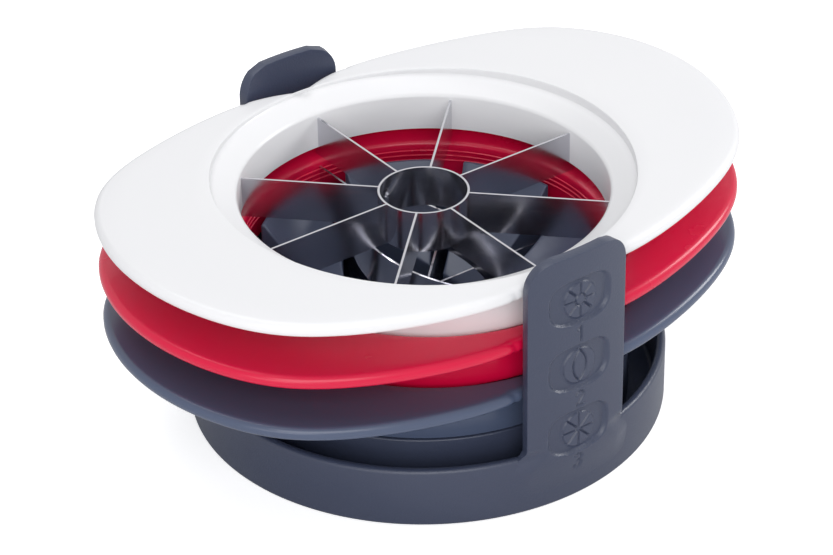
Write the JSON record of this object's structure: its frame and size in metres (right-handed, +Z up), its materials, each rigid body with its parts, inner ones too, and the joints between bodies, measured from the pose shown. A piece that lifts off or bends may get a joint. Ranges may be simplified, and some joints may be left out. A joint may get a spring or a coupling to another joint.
{
  "type": "stacked fruit slicer set",
  "caption": "Round push-through stand with two uprights, carrying stacked winged slicer plates with steel blades for wedging, stoning and segmenting fruit.",
  "frame": {"origin": "middle of the stand's underside, on the table", "axes": "+Z up along the slicers' lift, +X along the grips, -Y towards the marked upright"},
  "size_m": [0.183, 0.135, 0.076],
  "materials": {
    "anthracite_plastic": "fine satin grain",
    "grey_plastic": "smooth",
    "red_plastic": "smooth",
    "white_plastic": "smooth",
    "blade_steel": "polished strip steel"
  },
  "bodies": {
    "stand": {"stand": "anthracite_plastic", "push_pads": "anthracite_plastic"},
    "tomato_slicer": {"tomato_frame": "grey_plastic", "tomato_blade_1": "blade_steel", "tomato_blade_2": "blade_steel", "tomato_blade_3": "blade_steel", "tomato_blade_4": "blade_steel"},
    "mango_slicer": {"mango_frame": "red_plastic", "stone_blade_left": "blade_steel", "stone_blade_right": "blade_steel", "tip_blade_front": "blade_steel", "tip_blade_rear": "blade_steel"},
    "wedge_slicer": {"wedge_frame": "white_plastic", "core_ring": "blade_steel", "wedge_blade_1": "blade_steel", "wedge_blade_2": "blade_steel", "wedge_blade_3": "blade_steel", "wedge_blade_4": "blade_steel", "wedge_blade_5": "blade_steel", "wedge_blade_6": "blade_steel", "wedge_blade_7": "blade_steel", "wedge_blade_8": "blade_steel"}
  },
  "joints": [
    {"name": "tomato_lift", "type": "slide", "parent": "stand", "child": "tomato_slicer", "axis": [0, 0, 1], "range_m": [0, 0.09]},
    {"name": "mango_lift", "type": "slide", "parent": "tomato_slicer", "child": "mango_slicer", "axis": [0, 0, 1], "range_m": [0, 0.08]},
    {"name": "wedge_lift", "type": "slide", "parent": "mango_slicer", "child": "wedge_slicer", "axis": [0, 0, 1], "range_m": [0, 0.07]}
  ]
}
